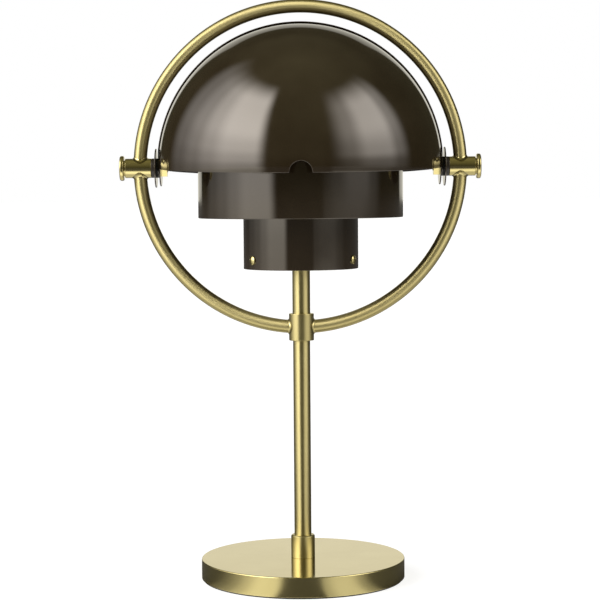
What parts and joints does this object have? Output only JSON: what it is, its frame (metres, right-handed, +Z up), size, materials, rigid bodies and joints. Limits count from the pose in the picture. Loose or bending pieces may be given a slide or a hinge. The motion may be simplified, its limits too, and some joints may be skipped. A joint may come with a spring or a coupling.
{
  "type": "portable table lamp",
  "caption": "Portable table lamp: brass foot, stem and ring, with two dark quarter-dome shades that turn about a level axis around a stepped lamp head.",
  "frame": {"origin": "centre of the foot's underside, where the lamp stands", "axes": "+Z up along the stem, -Y to the front, X along the shades' pivot axis with +X to the right as seen from the front"},
  "size_m": [0.2164, 0.1723, 0.3491],
  "materials": {
    "satin_brass": "satin",
    "dark_lacquer": "glossy dark brown",
    "dark_spacer": "satin dark brown",
    "black_plastic": "matt",
    "black_rubber": "matt",
    "plain_steel": "zinc plated",
    "grey_iron": "raw cast",
    "bare_aluminium": "milled",
    "green_board": "matt",
    "cell_wrap": "satin",
    "cable_sheath": "matt",
    "white_plastic": "matt",
    "opal_plastic": "satin",
    "chip_yellow": "satin"
  },
  "bodies": {
    "stand": {"base_pad": "black_rubber", "bottom_plate": "plain_steel", "plate_screws": "plain_steel", "base_weight": "grey_iron", "base_cover": "satin_brass", "battery_cell_left": "cell_wrap", "battery_cell_right": "cell_wrap", "battery_leads": "cable_sheath", "control_board": "green_board", "charging_socket": "plain_steel", "switch_housing": "black_plastic", "stem_nut": "plain_steel", "stem_collar": "satin_brass", "stem_lower": "satin_brass", "stem_upper": "satin_brass", "inner_cable": "cable_sheath", "ring_hub": "satin_brass", "ring_arch": "satin_brass", "ring_quarter_left": "satin_brass", "ring_quarter_right": "satin_brass", "pivot_barrel_left": "satin_brass", "pivot_barrel_right": "satin_brass", "pivot_bolt_left": "satin_brass", "pivot_bolt_right": "satin_brass", "outer_spacer_left": "dark_spacer", "outer_spacer_right": "dark_spacer", "pivot_disc_left": "dark_lacquer", "pivot_disc_right": "dark_lacquer", "shade_washer_left": "black_plastic", "shade_washer_right": "black_plastic", "friction_washer_left": "black_plastic", "friction_washer_right": "black_plastic", "pivot_nut_left": "satin_brass", "pivot_nut_right": "satin_brass", "head_housing": "dark_lacquer", "head_carrier": "plain_steel", "head_nut": "plain_steel", "housing_screws": "satin_brass", "drum": "dark_lacquer", "drum_screws": "plain_steel", "heat_sink": "bare_aluminium", "led_board": "bare_aluminium", "led_chips": "chip_yellow", "diffuser_ring": "white_plastic", "diffuser": "opal_plastic"},
    "front_shade": {"front_shade": "dark_lacquer"},
    "back_shade": {"back_shade": "dark_lacquer"},
    "power_button": {"power_button": "black_plastic"}
  },
  "joints": [
    {"name": "front_shade_turn", "type": "hinge", "parent": "stand", "child": "front_shade", "pos_m": [0, 0, 0.249], "axis": [1, 0, 0], "range_deg": [-171, 87.3]},
    {"name": "back_shade_turn", "type": "hinge", "parent": "stand", "child": "back_shade", "pos_m": [0, 0, 0.249], "axis": [1, 0, 0], "range_deg": [-87.3, 175]},
    {"name": "button_press", "type": "slide", "parent": "stand", "child": "power_button", "axis": [0, -1, 0], "range_m": [0, 0.0006], "stiffness_N_per_m": 1200, "springref_m": -0.0004}
  ]
}
